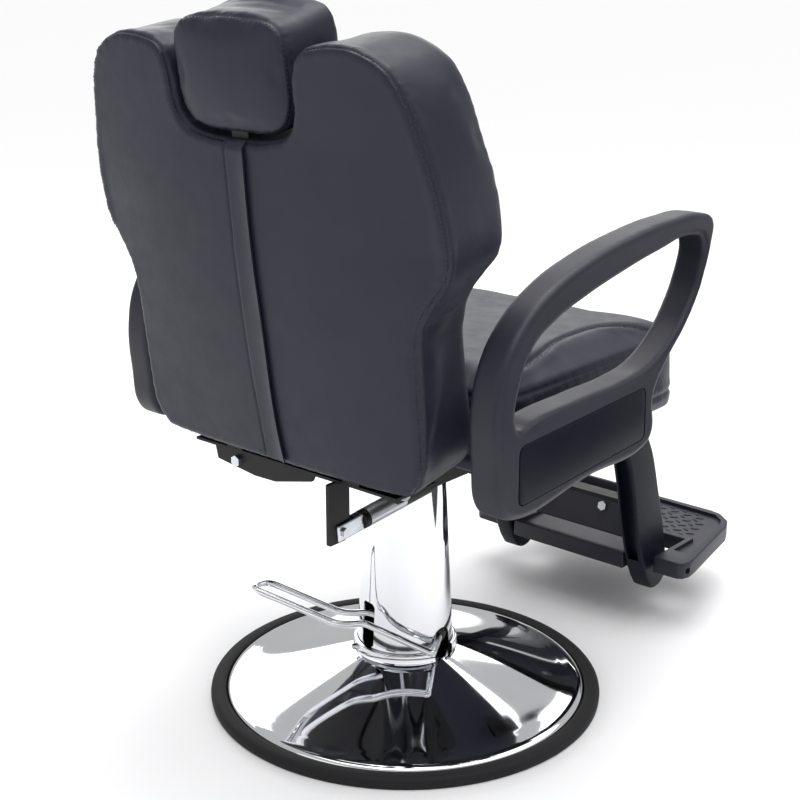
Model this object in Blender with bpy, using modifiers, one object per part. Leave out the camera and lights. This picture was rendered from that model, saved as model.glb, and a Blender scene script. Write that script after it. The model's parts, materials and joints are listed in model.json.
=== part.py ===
"""Hydraulic barber chair: chrome dish base, pump column, reclining seat with linked footrest.

Metres, +Z up. The origin is on the floor under the column axis, the sitter faces -Y, and the
sitter's right hand is on the -X side. Every moving piece is placed around its joint's axis.
"""
import math

import bmesh
import bpy
from mathutils import Matrix, Vector

# ---------------------------------------------------------------- driving dimensions (metres)
GAP = 0.0003                    # clearance between pieces that touch

BASE_RADIUS = 0.300             # rubber ring, outside
DISH_RADIUS = 0.276
DISH_TOP_Z = 0.0745
DISH_FALL_STEPS = 5
PLATE_BOTTOM_Z = 0.002
COLLAR_RADIUS = 0.079

SLEEVE_FOOT = (0.0735, 0.0785)  # outer radius and height of the column cover's foot
SLEEVE_TOP = (0.0598, 0.362)
SLEEVE_WALL = 0.0018
PUMP_RADIUS = 0.045
RAM_RADIUS = 0.0275
RAM_NECK_RADIUS = 0.0225
RAM_NECK_Z = 0.366

LEVER_AZIMUTH = math.radians(30)    # foot lever points to the rear and to the sitter's left
LEVER_PIVOT = (-0.058, 0.106)       # along the lever and up
LEVER_ROD = 0.0053
LEVER_NEAR = 0.091                  # the two legs' distance from the column's centre plane
LEVER_FAR = 0.053

SEAT_PLATE_Z = 0.3923
RAIL_Z = (0.398, 0.4305)
RAIL_X = (0.116, 0.1468)
HINGE_PLATE_X = (0.1460, 0.1518)
SEAT_HALF_WIDTH = 0.266
SEAT_Y = (-0.360, 0.118)
SEAT_BOARD_Z = (0.431, 0.443)
SEAT_CUSHION_Z = (0.4435, 0.570)

HINGE_Y, HINGE_Z = 0.190, 0.414     # backrest pivot
BACK_LEAN = math.radians(8.25)
BACK_FOOT = (0.0, 0.258, 0.435)     # bottom of the back's rear face
BACK_DEPTH = 0.130
SHOULDER_EXTRA = 0.018
BOARD_DEPTH = (-0.017, -0.005)      # plywood, measured from the rear face

ARM_X = (0.297, 0.345)
ARM_ROUNDING = 0.009
STRAP_START_X = 0.1471              # the arm's straps start at the rail's outer face
PANEL_RECESS = 0.003

LEG_HINGE_Y, LEG_HINGE_Z = -0.325, 0.402
LEG_X = (0.120, 0.156)
LINK_CRANK = (0.010, -0.020)        # from each hinge to its end of the link, in y and z
LINK_HALF_WIDTH = 0.0060
LINK_HOLE = 0.0047
LINK_PIN = 0.0037
CROSS_BOTTOM_Z = 0.4045             # the cross members clear the link that passes below
LINK_X = (0.1040, 0.1080)
CRANK_X = (0.1086, 0.1126)
PANEL_TILT = math.radians(15)
TREAD_PIVOT = (-0.470, 0.0995)
TREAD_Z = (0.086, 0.115)

GAS_X = -0.080
GAS_ANCHOR = (-0.045, 0.376)        # front pin, in y and z
GAS_PIN = (0.228, 0.353)            # rear pin, on the recline arm
GAS_RADIUS = 0.0135

ROUND_STEPS = 32                    # sides of a large turned piece
PIN_STEPS = 14                      # sides of a pin, bolt or hole
PIN_RADIUS = 0.0050                 # hinge pins and the tray's rod
PIN_HOLE = 0.0053
HINGE_PIN_X = (0.1455, 0.1588)      # where each pin starts and where its head starts
LEG_PIN_X = (0.1095, 0.1573)
LEG_PLATE_X = (0.1107, 0.1166)
STRAP_Z = (0.4262, 0.4305)
SHELF_Z = (0.4262, 0.4302)

# ---------------------------------------------------------------- scene and materials
for old in list(bpy.data.objects):
    bpy.data.objects.remove(old, do_unlink=True)

chair = bpy.data.collections.new("barber_chair")
cutters = bpy.data.collections.new("cutters")
for collection in (chair, cutters):
    bpy.context.scene.collection.children.link(collection)


def make_material(name, color, roughness, metallic=0.0):
    material = bpy.data.materials.new(name)
    material.use_nodes = True
    shader = material.node_tree.nodes["Principled BSDF"]
    shader.inputs["Base Color"].default_value = (*color, 1)
    shader.inputs["Roughness"].default_value = roughness
    shader.inputs["Metallic"].default_value = metallic
    return material


CHROME = ((0.80, 0.81, 0.84), 0.06, 1.0)
ZINC = ((0.62, 0.64, 0.66), 0.28, 1.0)
BLACK_STEEL = ((0.030, 0.031, 0.034), 0.42, 0.4)
BLACK_PLASTIC = ((0.038, 0.040, 0.048), 0.48, 0.0)
LEATHERETTE = ((0.046, 0.048, 0.062), 0.44, 0.0)
RUBBER = ((0.022, 0.022, 0.024), 0.72, 0.0)
PLYWOOD = ((0.45, 0.32, 0.19), 0.75, 0.0)
CAST_IRON = ((0.10, 0.10, 0.11), 0.60, 0.8)


# ---------------------------------------------------------------- helpers
def finish(obj, name, look, target=None):
    """Name an object, give it its own material, shade its round faces smooth and file it."""
    obj.name = obj.data.name = name
    if obj.type == "MESH":
        obj.data.shade_smooth()
        obj.data.set_sharp_from_angle(angle=math.radians(35))
    obj.data.materials.clear()
    if look:
        obj.data.materials.append(make_material(name, *look))
    for owner in list(obj.users_collection):
        owner.objects.unlink(obj)
    (target or chair).objects.link(obj)
    return obj


def mesh_object(bm, name, look):
    mesh = bpy.data.meshes.new(name)
    bm.to_mesh(mesh)
    bm.free()
    return finish(bpy.data.objects.new(name, mesh), name, look)


def bevel(obj, width, segments=2):
    modifier = obj.modifiers.new("rounding", "BEVEL")
    modifier.width = width
    modifier.segments = segments
    modifier.limit_method = "ANGLE"
    modifier.angle_limit = math.radians(50)
    return obj


def box(name, x, y, z, look, rounding=0.0, segments=2):
    """A block between two x, two y and two z values."""
    bm = bmesh.new()
    bmesh.ops.create_cube(bm, size=1.0)
    size = (x[1] - x[0], y[1] - y[0], z[1] - z[0])
    bmesh.ops.scale(bm, vec=size, verts=bm.verts)
    obj = mesh_object(bm, name, look)
    obj.location = ((x[0] + x[1]) / 2, (y[0] + y[1]) / 2, (z[0] + z[1]) / 2)
    return bevel(obj, rounding, segments) if rounding else obj


def rod(name, start, end, radius, look, steps=PIN_STEPS):
    """A cylinder from one point to another."""
    start, end = Vector(start), Vector(end)
    bm = bmesh.new()
    bmesh.ops.create_cone(bm, cap_ends=True, segments=steps, radius1=radius, radius2=radius,
                          depth=(end - start).length)
    obj = mesh_object(bm, name, look)
    obj.location = (start + end) / 2
    obj.rotation_mode = "QUATERNION"
    obj.rotation_quaternion = (end - start).to_track_quat("Z", "Y")
    return obj


def turned(name, profile, look, closed=False, steps=ROUND_STEPS):
    """A profile of (radius, height) points, outer side downwards, turned about the Z axis."""
    mesh = bpy.data.meshes.new(name)
    count = len(profile)
    edges = [(i, i + 1) for i in range(count - 1)] + ([(count - 1, 0)] if closed else [])
    mesh.from_pydata([(r, 0, z) for r, z in profile], edges, [])
    obj = finish(bpy.data.objects.new(name, mesh), name, look)
    screw = obj.modifiers.new("turn", "SCREW")
    screw.angle = math.tau
    screw.steps = screw.render_steps = steps
    screw.use_merge_vertices = True
    screw.merge_threshold = 0.00001
    return obj


def rounded_corners(points, radius, arc_steps=4):
    """Points of a path whose inner corners are arcs; a radius may be given per point."""
    points = [Vector(p) for p in points]
    radii = radius if isinstance(radius, (list, tuple)) else [radius] * len(points)
    result = []
    for i, corner in enumerate(points):
        before, after = points[i - 1], points[(i + 1) % len(points)]
        if radii[i] <= 0:
            result.append(corner)
            continue
        to_before, to_after = (before - corner).normalized(), (after - corner).normalized()
        half = to_before.angle(to_after) / 2
        reach = radii[i] / math.tan(half)
        centre = corner + (to_before + to_after).normalized() * (radii[i] / math.sin(half))
        first, last = corner + to_before * reach, corner + to_after * reach
        for k in range(arc_steps + 1):
            spoke = (first - centre).slerp(last - centre, k / arc_steps)
            result.append(centre + spoke.normalized() * radii[i])
    return result


def to_mesh(curve_object, name, look):
    """Turn a curve into a closed mesh object in the same place."""
    bpy.context.view_layer.update()
    graph = bpy.context.evaluated_depsgraph_get()
    mesh = bpy.data.meshes.new_from_object(curve_object.evaluated_get(graph))
    bm = bmesh.new()
    bm.from_mesh(mesh)
    bmesh.ops.remove_doubles(bm, verts=bm.verts, dist=0.00002)
    bmesh.ops.recalc_face_normals(bm, faces=bm.faces)
    bm.to_mesh(mesh)
    bm.free()
    obj = bpy.data.objects.new(name, mesh)
    obj.matrix_world = curve_object.matrix_world.copy()
    bpy.data.objects.remove(curve_object)
    return finish(obj, name, look)


def bent_rod(name, path, radius, look, corner=0.012, rotation=(0, 0, 0), sides=2):
    """A round rod along straight runs that are joined by arcs."""
    radii = [0] + [corner] * (len(path) - 2) + [0]
    points = rounded_corners(path, radii)
    curve = bpy.data.curves.new(name, "CURVE")
    curve.dimensions = "3D"
    spline = curve.splines.new("POLY")
    spline.points.add(len(points) - 1)
    for point, place in zip(spline.points, points):
        point.co = (*place, 1)
    curve.bevel_depth = radius
    curve.bevel_resolution = sides
    curve.use_fill_caps = True
    obj = bpy.data.objects.new(name, curve)
    obj.rotation_euler = rotation
    bpy.context.scene.collection.objects.link(obj)
    return to_mesh(obj, name, look)


FACING = {"X": (math.pi / 2, 0, math.pi / 2), "Y": (math.pi / 2, 0, 0), "Z": (0, 0, 0)}


def sheet(name, loops, facing, low, high, look, edge=0.0, smooth=False, location=None):
    """A flat outline (y, z), (x, z) or (x, y), thick from low to high along its facing axis."""
    curve = bpy.data.curves.new(name, "CURVE")
    curve.dimensions = "2D"
    curve.fill_mode = "BOTH"
    curve.extrude = (high - low) / 2 - edge
    curve.bevel_depth = edge
    curve.bevel_resolution = 1 if edge else 0
    curve.offset = -edge
    curve.resolution_u = 2
    for loop in loops:
        spline = curve.splines.new("BEZIER" if smooth else "POLY")
        if smooth:
            spline.bezier_points.add(len(loop) - 1)
            for point, place in zip(spline.bezier_points, loop):
                point.co = (place[0], place[1], 0)
                point.handle_left_type = point.handle_right_type = "AUTO"
        else:
            spline.points.add(len(loop) - 1)
            for point, place in zip(spline.points, loop):
                point.co = (place[0], place[1], 0, 1)
        spline.use_cyclic_u = True
    obj = bpy.data.objects.new(name, curve)
    obj.rotation_euler = FACING[facing]
    middle = (low + high) / 2
    offset = {"X": (middle, 0, 0), "Y": (0, middle, 0), "Z": (0, 0, middle)}[facing]
    obj.location = location or offset
    bpy.context.scene.collection.objects.link(obj)
    return to_mesh(obj, name, look)


def polygon(points, radius):
    """A closed outline with rounded corners."""
    return rounded_corners([(*p, 0) for p in points], [radius] * len(points))


def circle(y, z, radius, steps=PIN_STEPS):
    """A hole or a round boss as an outline."""
    return [(y + radius * math.cos(math.tau * k / steps), z + radius * math.sin(math.tau * k / steps))
            for k in range(steps)]


def as_cutter(obj):
    for owner in list(obj.users_collection):
        owner.objects.unlink(obj)
    cutters.objects.link(obj)
    obj.hide_render = True
    obj.display_type = "WIRE"
    return obj


def combine(target, other, operation):
    modifier = target.modifiers.new(operation.lower(), "BOOLEAN")
    modifier.operation = operation
    modifier.solver = "EXACT"
    modifier.object = as_cutter(other)
    return target


def cut(target, other):
    return combine(target, other, "DIFFERENCE")


def weld_on(target, other):
    return combine(target, other, "UNION")


SIDES = ((-1, "_right"), (1, "_left"))


def side_range(side, limits):
    """An x range on one side of the chair, low end first; side is -1 for the sitter's right."""
    return tuple(sorted((side * limits[0], side * limits[1])))


def hex_bolt(name, start, direction, radius, height, look=ZINC):
    """A hexagon head standing on start."""
    start, direction = Vector(start), Vector(direction).normalized()
    return rod(name, start, start + direction * height, radius, look, steps=6)


# ---------------------------------------------------------------- base
def make_base():
    ring = [(0.2960, 0.0165), (0.2995, 0.0120), (BASE_RADIUS, 0.0060), (0.2985, 0.0), (0.2553, 0.0),
            (0.2553, 0.0032), (0.2770, 0.0032), (0.2770, 0.0145), (0.2800, 0.0170),
            (0.2900, 0.0178)]
    turned("base_ring", ring, RUBBER, closed=True, steps=40)

    # The dish falls from the collar in a shallow bell to a flat band at its rim.
    band = [(0.2480, 0.0225), (0.2600, 0.0200), (0.2705, 0.0180), (0.2748, 0.0140),
            (DISH_RADIUS, 0.0036)]
    fall = []
    for i in range(DISH_FALL_STEPS):
        share = i / DISH_FALL_STEPS
        radius = 0.0700 + (band[0][0] - 0.0700) * share
        fall.append((radius, band[0][1] + (DISH_TOP_Z - band[0][1]) * (1 - share) ** 1.12))
    outer = fall + band
    inner = [(r - 0.0006, z - 0.0015) for r, z in outer[:-1]]
    inner.append((DISH_RADIUS - 0.0015, 0.0036))
    turned("base_dish", outer + inner[::-1], CHROME, closed=True, steps=40)

    plate = [(0, 0.0120), (0.2520, 0.0120), (0.2545, 0.0100), (0.2545, PLATE_BOTTOM_Z),
             (0, PLATE_BOTTOM_Z)]
    turned("base_plate", plate, BLACK_STEEL, steps=40)


def sleeve_radius(z):
    (low_r, low_z), (high_r, high_z) = SLEEVE_FOOT, SLEEVE_TOP
    return low_r + (high_r - low_r) * (z - low_z) / (high_z - low_z)


def lever_frame(u, y, z):
    """A point given along the foot lever, across it and up, in chair coordinates."""
    return Matrix.Rotation(LEVER_AZIMUTH, 4, "Z") @ Vector((u, y, z))


def arch_cutter(name):
    """Arched mouth on the sitter's right, where the lever's shaft enters the column."""
    half, spring_z, foot_z = 0.020, 0.102, 0.060
    arc = [(half * math.cos(t), spring_z + half * math.sin(t))
           for t in [math.pi * k / 8 for k in range(9)]]
    return sheet(name, [arc + [(-half, foot_z), (half, foot_z)]], "X", -0.100, -0.050, None)


def make_column():
    bore = RAM_RADIUS + 0.0005
    pump = [(0, 0.060), (bore, 0.060), (bore, 0.300), (PUMP_RADIUS, 0.300),
            (PUMP_RADIUS, 0.0240), (0.060, 0.0235), (0.060, 0.0123), (0, 0.0123)]
    pump_body = turned("pump_body", pump, CAST_IRON)

    low_z, high_z = SLEEVE_FOOT[1], SLEEVE_TOP[1]
    rows = [low_z + (high_z - low_z) * k / 4 for k in range(5)]
    outer = [(sleeve_radius(z), z) for z in reversed(rows)]
    inner = [(r - SLEEVE_WALL, z) for r, z in reversed(outer)]
    sleeve = turned("column_sleeve", outer + inner, CHROME, closed=True)
    cut(sleeve, arch_cutter("sleeve_mouth"))
    slot_place = lever_frame(0.0470, LEVER_FAR, 0)
    slot = box("sleeve_slot", (-0.025, 0.025), (-0.0135, 0.0135), (0.091, 0.162), None)
    slot.location = (slot_place.x, slot_place.y, (0.091 + 0.162) / 2)
    slot.rotation_euler.z = math.atan2(slot_place.y, slot_place.x)
    cut(sleeve, slot)

    collar = [(0.0765, 0.0905), (COLLAR_RADIUS, 0.0880), (COLLAR_RADIUS, 0.0785),
              (0.0800, 0.0752), (0.0650, 0.0752), (0.0650, 0.0782), (0.0742, 0.0782),
              (0.0742, 0.0905)]
    ring = turned("column_collar", collar, CHROME, closed=True)
    cut(ring, arch_cutter("collar_mouth"))

    screw_angle = math.radians(62)
    out = Vector((math.cos(screw_angle), math.sin(screw_angle), 0))
    foot = out * (COLLAR_RADIUS + GAP) + Vector((0, 0, 0.083))
    rod("collar_screw", foot, foot + out * 0.007, 0.0045, CHROME)

    bush = [(0.0540, 0.3650), (0.0576, 0.3630), (0.0576, 0.3500), (RAM_RADIUS + GAP, 0.3500),
            (RAM_RADIUS + GAP, 0.3650)]
    turned("sleeve_bush", bush, BLACK_PLASTIC, closed=True)

    weld_lever_ears(pump_body)


def weld_lever_ears(pump_body):
    """Two ears on the pump that hold the lever's shaft."""
    u, z = LEVER_PIVOT
    arc = [(u + 0.0085 * math.cos(t), z + 0.0085 * math.sin(t))
           for t in [math.pi / 2 + math.pi * k / 6 for k in range(7)]]
    outline = arc + [(-0.0350, z - 0.0085), (-0.0350, z + 0.0085)]
    for low, high in ((0.0135, 0.0185), (0.0250, 0.0300)):
        ear = sheet("lever_ear", [outline, circle(u, z, 0.0057)], "Y", low, high, None)
        ear.matrix_world = Matrix.Rotation(LEVER_AZIMUTH, 4, "Z") @ ear.matrix_world
        weld_on(pump_body, ear)


def make_foot_lever():
    u, z = LEVER_PIVOT
    near, far = LEVER_NEAR, LEVER_FAR
    path = [(u, near - 0.0110, z), (u, near, z), (0.046, near, 0.1468), (0.067, near, 0.1425),
            (0.090, near, 0.1425), (0.217, near, 0.1895), (0.201, far, 0.1835),
            (0.090, far, 0.1425), (0.067, far, 0.1425), (0.046, far, 0.1468),
            (-0.026, far, 0.1180), (u + 0.0075, 0.0370, z + 0.0030)]
    bent_rod("foot_lever_bar", path, LEVER_ROD, CHROME, corner=0.0095,
             rotation=(0, 0, LEVER_AZIMUTH))
    rod("foot_lever_shaft", lever_frame(u, 0.0110, z), lever_frame(u, near - 0.0110 - GAP, z),
        0.0054, ZINC)


def make_ram():
    profile = [(0, 0.3915), (RAM_NECK_RADIUS - 0.001, 0.3915), (RAM_NECK_RADIUS, 0.3900),
               (RAM_NECK_RADIUS, RAM_NECK_Z), (RAM_RADIUS, RAM_NECK_Z), (RAM_RADIUS, 0.0790),
               (RAM_RADIUS - 0.001, 0.0780), (0, 0.0780)]
    turned("ram", profile, CHROME, steps=32)


# ---------------------------------------------------------------- seat
def make_seat_frame():
    hub = [(0.0460, 0.3920), (0.0480, 0.3900), (0.0480, 0.3700), (0.0460, 0.3680),
           (RAM_NECK_RADIUS + GAP, 0.3680), (RAM_NECK_RADIUS + GAP, 0.3920)]
    turned("seat_hub", hub, BLACK_STEEL, closed=True, steps=32)
    plate = box("seat_plate", (-0.098, 0.098), (-0.105, 0.105),
                (SEAT_PLATE_Z, SEAT_PLATE_Z + 0.005), BLACK_STEEL)
    for x in (-0.055, 0.055):
        for y in (-0.085, 0.085):
            weld_on(plate, hex_bolt("plate_bolt", (x, y, SEAT_PLATE_Z + 0.001), (0, 0, -1),
                                    0.0085, 0.0065))
    y, z = GAS_ANCHOR
    outline = polygon([(y - 0.014, SEAT_PLATE_Z + 0.001), (y - 0.010, z - 0.012),
                       (y + 0.010, z - 0.012), (y + 0.014, SEAT_PLATE_Z + 0.001)], 0.0015)
    for low in (GAS_X - 0.0155, GAS_X + 0.0115):
        weld_on(plate, sheet("gas_ear", [outline, circle(y, z, 0.0043)], "X", low, low + 0.004,
                             None))

    for word, y in (("front", -0.085), ("rear", 0.085)):
        box("seat_cross_" + word, (-RAIL_X[0] + GAP, RAIL_X[0] - GAP), (y - 0.015, y + 0.015),
            (CROSS_BOTTOM_Z, RAIL_Z[1]), BLACK_STEEL, 0.003, 2)
    for side, word in SIDES:
        make_rail(side, word)
        headed_pin("hinge_pin" + word, side, HINGE_PIN_X, HINGE_Y, HINGE_Z)
        headed_pin("footrest_pin" + word, side, LEG_PIN_X, LEG_HINGE_Y, LEG_HINGE_Z)

    box("seat_board", (-0.252, 0.252), (-0.345, 0.112), SEAT_BOARD_Z, PLYWOOD, 0.004, 1)
    box("seat_cushion", (-SEAT_HALF_WIDTH, SEAT_HALF_WIDTH), SEAT_Y, SEAT_CUSHION_Z,
        LEATHERETTE, 0.030, 3)


def headed_pin(name, side, span, y, z):
    """A hinge pin across the chair with a hexagon head on its outer end."""
    pin = rod(name, (side * span[0], y, z), (side * (span[1] + 0.001), y, z), PIN_RADIUS, ZINC)
    weld_on(pin, hex_bolt("pin_head", (side * span[1], y, z), (side, 0, 0), 0.0090, 0.006))


def make_rail(side, word):
    """A side rail with the backrest's hinge plate and the footrest's hinge plate welded on."""
    rail = box("seat_rail" + word, side_range(side, RAIL_X), (-0.285, 0.158), RAIL_Z,
               BLACK_STEEL)
    arc = [(HINGE_Y + 0.0105 * math.cos(t), HINGE_Z + 0.0105 * math.sin(t))
           for t in [-math.pi / 2 + math.pi * k / 6 for k in range(7)]]
    outline = arc + [(0.092, RAIL_Z[1] - 0.006), (0.092, RAIL_Z[0] + 0.004)]
    weld_on(rail, sheet("hinge_plate", [outline, circle(HINGE_Y, HINGE_Z, PIN_HOLE)], "X",
                        *side_range(side, HINGE_PLATE_X), None))
    arc = [(LEG_HINGE_Y + 0.0145 * math.cos(t), LEG_HINGE_Z + 0.0145 * math.sin(t))
           for t in [math.pi / 2 + math.pi * k / 6 for k in range(7)]]
    outline = arc + [(-0.230, LEG_HINGE_Z - 0.0145), (-0.230, 0.4270)]
    weld_on(rail, sheet("leg_plate", [outline, circle(LEG_HINGE_Y, LEG_HINGE_Z, PIN_HOLE)], "X",
                        *side_range(side, LEG_PLATE_X), None))


# ---------------------------------------------------------------- armrests
ARM_OUTLINE = [(0.196, 0.426), (0.030, 0.437), (-0.112, 0.446), (-0.127, 0.462), (-0.126, 0.515),
               (-0.152, 0.552), (-0.202, 0.600), (-0.240, 0.655), (-0.261, 0.710),
               (-0.262, 0.740), (-0.232, 0.752), (-0.160, 0.755), (-0.060, 0.748),
               (0.040, 0.732), (0.120, 0.708), (0.178, 0.675), (0.216, 0.630), (0.232, 0.575),
               (0.230, 0.500), (0.218, 0.440)]
ARM_LOOP = [(0.190, 0.548), (0.186, 0.595), (0.160, 0.640), (0.115, 0.665), (0.050, 0.684),
            (-0.030, 0.701), (-0.120, 0.716), (-0.205, 0.724), (-0.236, 0.712),
            (-0.230, 0.668), (-0.205, 0.626), (-0.165, 0.588), (-0.115, 0.562), (-0.060, 0.553),
            (0.040, 0.551), (0.150, 0.547), (0.180, 0.541)]
PANEL_CORNERS = [(0.188, 0.441), (-0.103, 0.458), (-0.100, 0.534), (0.188, 0.522)]


def make_armrests():
    for side, word in SIDES:
        x = side_range(side, ARM_X)
        arm = sheet("arm" + word, [ARM_OUTLINE, ARM_LOOP], "X", *x, BLACK_PLASTIC,
                    edge=ARM_ROUNDING, smooth=True)
        face = side * ARM_X[1]
        deep, proud = face - side * (PANEL_RECESS + GAP), face + side * 0.010
        pocket = sheet("arm_pocket" + word, [polygon(PANEL_CORNERS, 0.012)], "X",
                       *sorted((deep, proud)), None)
        cut(arm, pocket)
        centre = [sum(p[i] for p in PANEL_CORNERS) / 4 for i in (0, 1)]
        inset = [tuple(c + (v - c) * 0.985 for v, c in zip(p, centre)) for p in PANEL_CORNERS]
        sheet("arm_panel" + word, [polygon(inset, 0.011)], "X",
              *sorted((face - side * PANEL_RECESS, face)), BLACK_PLASTIC)

        bracket = box("arm_bracket" + word, side_range(side, (ARM_X[0] - 0.0045, ARM_X[0] - GAP)),
                      (-0.097, 0.077), (STRAP_Z[0], 0.5050), BLACK_STEEL)
        for y in (-0.075, 0.055):
            weld_on(bracket, box("strap", side_range(side, (STRAP_START_X, ARM_X[0] - 0.0010)),
                                 (y - 0.022, y + 0.022), STRAP_Z, None))
            for z in (0.457, 0.488):
                weld_on(bracket, hex_bolt("arm_bolt", (side * (ARM_X[0] - 0.0030), y, z),
                                          (-side, 0, 0), 0.0080, 0.007))


# ---------------------------------------------------------------- backrest
BACK_HALF = [(0.000, 0.008), (0.200, 0.009), (0.235, 0.022), (0.250, 0.050), (0.254, 0.090),
             (0.254, 0.170), (0.256, 0.235), (0.272, 0.268), (0.297, 0.302), (0.303, 0.335),
             (0.297, 0.400), (0.284, 0.460), (0.266, 0.518), (0.244, 0.550), (0.208, 0.567),
             (0.165, 0.570), (0.125, 0.562), (0.110, 0.530), (0.106, 0.490), (0.090, 0.463),
             (0.050, 0.452), (0.000, 0.450)]
BOARD_HALF = [(0.000, 0.020), (0.195, 0.020), (0.228, 0.045), (0.240, 0.090), (0.243, 0.235),
              (0.284, 0.320), (0.273, 0.450), (0.235, 0.540), (0.150, 0.557), (0.120, 0.548),
              (0.099, 0.475), (0.085, 0.450), (0.0195, 0.4395), (0.0195, 0.285), (0.000, 0.285)]
HEADREST_HALF = [(0.000, 0.4545), (0.048, 0.4560), (0.083, 0.467), (0.098, 0.493),
                 (0.101, 0.530), (0.102, 0.560), (0.098, 0.585), (0.080, 0.600), (0.000, 0.606)]
HEADREST_DEPTH = (-0.115, -0.0265)


def whole_outline(half):
    """The right half of an outline and its mirror image; both ends lie on the centre line."""
    return half + [(-x, z) for x, z in reversed(half[1:-1])]


def lean(obj):
    """Move an object that was made in the back's own upright frame to the leaning back."""
    bpy.context.view_layer.update()
    obj.matrix_world = (Matrix.Translation(BACK_FOOT) @ Matrix.Rotation(-BACK_LEAN, 4, "X")
                        @ obj.matrix_world)
    return obj


def deepen_shoulders(cushion):
    """The cushion is thicker above the waist, where it is clear of the seat."""
    for vertex in cushion.data.vertices:
        if vertex.co.z > 0.0:       # the outline's own Z points to the front
            share = max(0.0, min(1.0, (vertex.co.y - 0.20) / 0.10))
            vertex.co.z += SHOULDER_EXTRA * share


def make_backrest():
    outline = whole_outline(BACK_HALF)
    cushion = sheet("back_cushion", [outline], "Y", -BACK_DEPTH, -0.0225, LEATHERETTE,
                    edge=0.014)
    deepen_shoulders(cushion)
    lean(cushion)
    cover = sheet("back_cover", [outline], "Y", BOARD_DEPTH[1] + GAP, 0.0, LEATHERETTE)
    lean(cover)
    board = sheet("back_board", [whole_outline(BOARD_HALF)], "Y", *BOARD_DEPTH, PLYWOOD)
    lean(board)

    guide = box("headrest_guide", (-0.019, 0.019), (-0.0168, -0.0052), (0.290, 0.432),
                BLACK_STEEL)
    bore = box("guide_bore", (-0.0164, 0.0164), (-0.0142, -0.0078), (0.280, 0.450), None)
    cut(guide, bore)
    lean(guide)
    lean(bore)

    # Bent steel under the back: a shelf, a rear flange, an ear on each side for the hinge pin
    # and, on the sitter's left only, the crank that drives the link.
    frame = box("back_frame", (-0.190, 0.190), (0.160, 0.2400), SHELF_Z, BLACK_STEEL)
    for x in (-0.110, 0.110):
        strut = box("strut", (x - 0.015, x + 0.015), (-0.0220, -0.0175), (-0.008, 0.330), None)
        weld_on(frame, lean(strut))
    flange = polygon([(-0.045, 0.4280), (-0.040, 0.4170), (0.030, 0.4000), (0.070, 0.3990),
                      (0.145, 0.4080), (0.150, 0.4280)], 0.003)
    weld_on(frame, sheet("rear_flange", [flange], "Y", 0.2360, 0.2400, None))
    ear_x = (HINGE_PLATE_X[1] + GAP, HINGE_PLATE_X[1] + GAP + 0.005)
    crank_y, crank_z = HINGE_Y + LINK_CRANK[0], HINGE_Z + LINK_CRANK[1]
    for side in (-1, 1):
        ear = polygon([(0.172, 0.4280), (0.180, HINGE_Z - 0.012), (0.200, HINGE_Z - 0.012),
                       (0.214, 0.4280)], 0.004)
        weld_on(frame, sheet("ear", [ear, circle(HINGE_Y, HINGE_Z, PIN_HOLE)], "X",
                             *side_range(side, ear_x), None))
    crank = polygon([(crank_y - 0.008, crank_z - 0.007), (crank_y + 0.008, crank_z - 0.007),
                     (0.222, 0.4280), (0.186, 0.4280)], 0.003)
    weld_on(frame, sheet("crank", [crank], "X", *CRANK_X, None))
    weld_on(frame, rod("crank_pin", (0.1030, crank_y, crank_z), (0.1100, crank_y, crank_z),
                       LINK_PIN, None))
    weld_on(frame, hex_bolt("pin_head", (0.1036, crank_y, crank_z), (-1, 0, 0), 0.0070, 0.004))

    y, z = GAS_PIN
    arm = sheet("recline_arm", [polygon([(y - 0.0155, 0.4259), (y - 0.0155, z - 0.004),
                                         (y - 0.006, z - 0.0150), (y + 0.0245, z - 0.0150),
                                         (y + 0.0245, 0.4259)], 0.002),
                                circle(y, z, 0.0095)], "X", GAS_X - 0.003, GAS_X + 0.003,
                BLACK_STEEL)
    bevel(arm, 0.0006, 1)
    hex_bolt("back_bolt", (0.104, 0.2403, 0.4140), (0, 1, 0), 0.0085, 0.006)


def make_headrest():
    lean(box("headrest_bar", (-0.015, 0.015), (-0.0135, -0.0085), (0.300, 0.580),
             BLACK_STEEL, 0.0008, 1))
    lean(box("headrest_board", (-0.080, 0.080), (-0.0260, -0.0140), (0.475, 0.585),
             PLYWOOD, 0.003, 1))
    lean(sheet("headrest_cushion", [whole_outline(HEADREST_HALF)], "Y", *HEADREST_DEPTH,
               LEATHERETTE, edge=0.012))


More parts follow.
